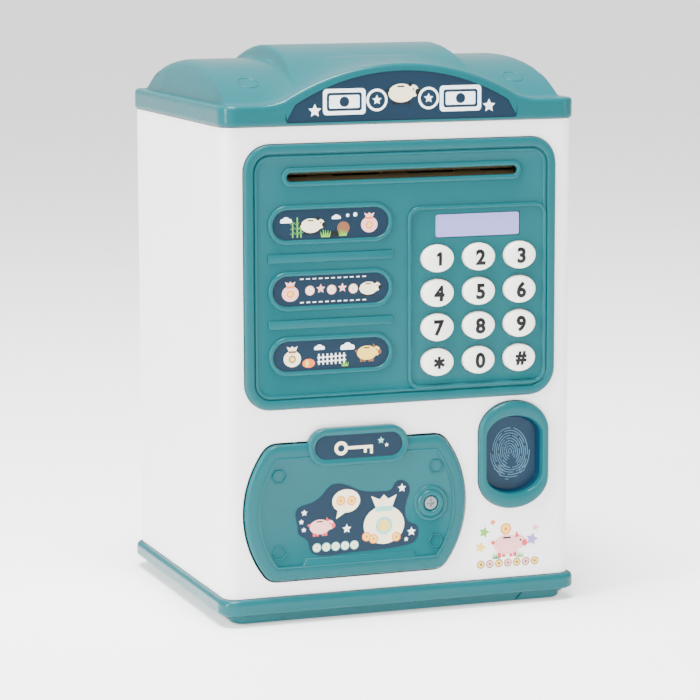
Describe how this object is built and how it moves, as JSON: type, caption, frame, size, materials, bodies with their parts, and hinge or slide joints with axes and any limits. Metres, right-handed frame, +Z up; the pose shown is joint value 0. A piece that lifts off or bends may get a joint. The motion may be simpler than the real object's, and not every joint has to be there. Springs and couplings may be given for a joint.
{
  "type": "toy savings bank",
  "caption": "Cash-machine-shaped money bank with a motorised note slot, keypad, fingerprint pad, coin slot and a hinged safe door.",
  "frame": {"origin": "on the table under the middle of the base", "axes": "+Z up, -Y out of the front with the keypad and the door, +X to the right seen from the front"},
  "size_m": [0.135, 0.1161, 0.2002],
  "materials": {
    "teal_plastic": "satin moulded plastic",
    "panel_plastic": "satin moulded plastic",
    "door_plastic": "satin moulded plastic",
    "white_plastic": "satin moulded plastic",
    "key_plastic": "gloss",
    "sign_print": "printed film",
    "label_print": "printed film",
    "sticker_print": "printed paper sticker",
    "display_lens": "tinted lens",
    "pad_plastic": "satin",
    "silicone": "matte",
    "foot_rubber": "matte",
    "tyre_rubber": "matte",
    "board": "solder mask",
    "grey_plastic": "matte",
    "gear_plastic": "matte",
    "steel": "bare",
    "spring_steel": "bare",
    "black_steel": "black oxide",
    "coil_wire": "enamelled wire and tape",
    "cell_wrap": "shrink film",
    "black_plastic": "matte"
  },
  "bodies": {
    "case": {"base_tray": "teal_plastic", "rubber_feet": "foot_rubber", "body_shell": "white_plastic", "roof_lid": "teal_plastic", "roof_sign": "sign_print", "coin_chute": "grey_plastic", "front_panel": "panel_plastic", "label_top": "label_print", "label_middle": "label_print", "label_bottom": "label_print", "display_window": "display_lens", "key_domes": "silicone", "keypad_mat": "silicone", "keypad_board": "board", "main_board": "board", "electronics_cover": "grey_plastic", "fingerprint_bezel": "teal_plastic", "fingerprint_dome": "silicone", "fingerprint_board": "board", "front_sticker": "sticker_print", "latch_coil": "coil_wire", "latch_spring": "spring_steel", "latch_frame": "steel", "feed_bracket": "grey_plastic", "feed_motor": "steel", "back_cover": "white_plastic", "batteries": "cell_wrap", "battery_contacts": "spring_steel", "speaker": "black_plastic", "switch_case": "black_plastic", "case_screws": "steel"},
    "door": {"door": "door_plastic", "door_label": "label_print", "door_sticker": "sticker_print", "lock_screw": "black_steel", "latch_keeper": "black_plastic"},
    "fingerprint_pad": {"fingerprint_pad": "pad_plastic"},
    "latch_bolt": {"latch_bolt": "steel"},
    "feed_roller": {"feed_shaft": "steel", "feed_tyres": "tyre_rubber", "feed_gear": "gear_plastic"},
    "idler_roller": {"idler_shaft": "steel", "idler_tyres": "tyre_rubber"},
    "relay_gear": {"relay_gear": "gear_plastic"},
    "motor_pinion": {"motor_pinion": "gear_plastic"},
    "battery_cover": {"battery_cover": "white_plastic", "battery_cover_screw": "steel"},
    "switch_knob": {"switch_knob": "black_plastic"},
    "key_1": {"key_1": "key_plastic"},
    "key_2": {"key_2": "key_plastic"},
    "key_3": {"key_3": "key_plastic"},
    "key_4": {"key_4": "key_plastic"},
    "key_5": {"key_5": "key_plastic"},
    "key_6": {"key_6": "key_plastic"},
    "key_7": {"key_7": "key_plastic"},
    "key_8": {"key_8": "key_plastic"},
    "key_9": {"key_9": "key_plastic"},
    "key_star": {"key_star": "key_plastic"},
    "key_0": {"key_0": "key_plastic"},
    "key_hash": {"key_hash": "key_plastic"}
  },
  "joints": [
    {"name": "key_1_press", "type": "slide", "parent": "case", "child": "key_1", "axis": [0, 1, 0], "range_m": [0, 0.0012], "stiffness_N_per_m": 300, "springref_m": -0.0005, "deforming": ["key_domes"]},
    {"name": "key_2_press", "type": "slide", "parent": "case", "child": "key_2", "axis": [0, 1, 0], "range_m": [0, 0.0012], "stiffness_N_per_m": 300, "springref_m": -0.0005, "deforming": ["key_domes"]},
    {"name": "key_3_press", "type": "slide", "parent": "case", "child": "key_3", "axis": [0, 1, 0], "range_m": [0, 0.0012], "stiffness_N_per_m": 300, "springref_m": -0.0005, "deforming": ["key_domes"]},
    {"name": "key_4_press", "type": "slide", "parent": "case", "child": "key_4", "axis": [0, 1, 0], "range_m": [0, 0.0012], "stiffness_N_per_m": 300, "springref_m": -0.0005, "deforming": ["key_domes"]},
    {"name": "key_5_press", "type": "slide", "parent": "case", "child": "key_5", "axis": [0, 1, 0], "range_m": [0, 0.0012], "stiffness_N_per_m": 300, "springref_m": -0.0005, "deforming": ["key_domes"]},
    {"name": "key_6_press", "type": "slide", "parent": "case", "child": "key_6", "axis": [0, 1, 0], "range_m": [0, 0.0012], "stiffness_N_per_m": 300, "springref_m": -0.0005, "deforming": ["key_domes"]},
    {"name": "key_7_press", "type": "slide", "parent": "case", "child": "key_7", "axis": [0, 1, 0], "range_m": [0, 0.0012], "stiffness_N_per_m": 300, "springref_m": -0.0005, "deforming": ["key_domes"]},
    {"name": "key_8_press", "type": "slide", "parent": "case", "child": "key_8", "axis": [0, 1, 0], "range_m": [0, 0.0012], "stiffness_N_per_m": 300, "springref_m": -0.0005, "deforming": ["key_domes"]},
    {"name": "key_9_press", "type": "slide", "parent": "case", "child": "key_9", "axis": [0, 1, 0], "range_m": [0, 0.0012], "stiffness_N_per_m": 300, "springref_m": -0.0005, "deforming": ["key_domes"]},
    {"name": "key_star_press", "type": "slide", "parent": "case", "child": "key_star", "axis": [0, 1, 0], "range_m": [0, 0.0012], "stiffness_N_per_m": 300, "springref_m": -0.0005, "deforming": ["key_domes"]},
    {"name": "key_0_press", "type": "slide", "parent": "case", "child": "key_0", "axis": [0, 1, 0], "range_m": [0, 0.0012], "stiffness_N_per_m": 300, "springref_m": -0.0005, "deforming": ["key_domes"]},
    {"name": "key_hash_press", "type": "slide", "parent": "case", "child": "key_hash", "axis": [0, 1, 0], "range_m": [0, 0.0012], "stiffness_N_per_m": 300, "springref_m": -0.0005, "deforming": ["key_domes"]},
    {"name": "fingerprint_press", "type": "slide", "parent": "case", "child": "fingerprint_pad", "axis": [0, 1, 0], "range_m": [0, 0.0012], "stiffness_N_per_m": 400, "springref_m": -0.0005, "deforming": ["fingerprint_dome"]},
    {"name": "door_hinge", "type": "hinge", "parent": "case", "child": "door", "pos_m": [-0.04, -0.0536, 0.0397], "axis": [0, 0, -1], "range_deg": [0, 90]},
    {"name": "latch_bolt_slide", "type": "slide", "parent": "case", "child": "latch_bolt", "axis": [-1, 0, 0], "range_m": [0, 0.0075], "deforming": ["latch_spring"]},
    {"name": "feed_spin", "type": "hinge", "parent": "case", "child": "feed_roller", "pos_m": [0, -0.0465, 0.162], "axis": [1, 0, 0], "continuous": true},
    {"name": "idler_spin", "type": "hinge", "parent": "case", "child": "idler_roller", "pos_m": [0, -0.0465, 0.1526], "axis": [1, 0, 0], "continuous": true},
    {"name": "relay_spin", "type": "hinge", "parent": "case", "child": "relay_gear", "pos_m": [0.0512, -0.03495, 0.162], "axis": [1, 0, 0], "continuous": true},
    {"name": "pinion_spin", "type": "hinge", "parent": "case", "child": "motor_pinion", "pos_m": [0.0512, -0.03043, 0.16984], "axis": [1, 0, 0], "continuous": true},
    {"name": "battery_cover_slide", "type": "slide", "parent": "case", "child": "battery_cover", "axis": [0, 1, 0], "range_m": [0, 0.02]},
    {"name": "switch_slide", "type": "slide", "parent": "case", "child": "switch_knob", "axis": [1, 0, 0], "range_m": [0, 0.003]}
  ],
  "couplings": [
    {"joint": "idler_spin", "follows": "feed_spin", "ratio": -1},
    {"joint": "relay_spin", "follows": "feed_spin", "ratio": -0.91667},
    {"joint": "pinion_spin", "follows": "feed_spin", "ratio": 1.8333}
  ]
}
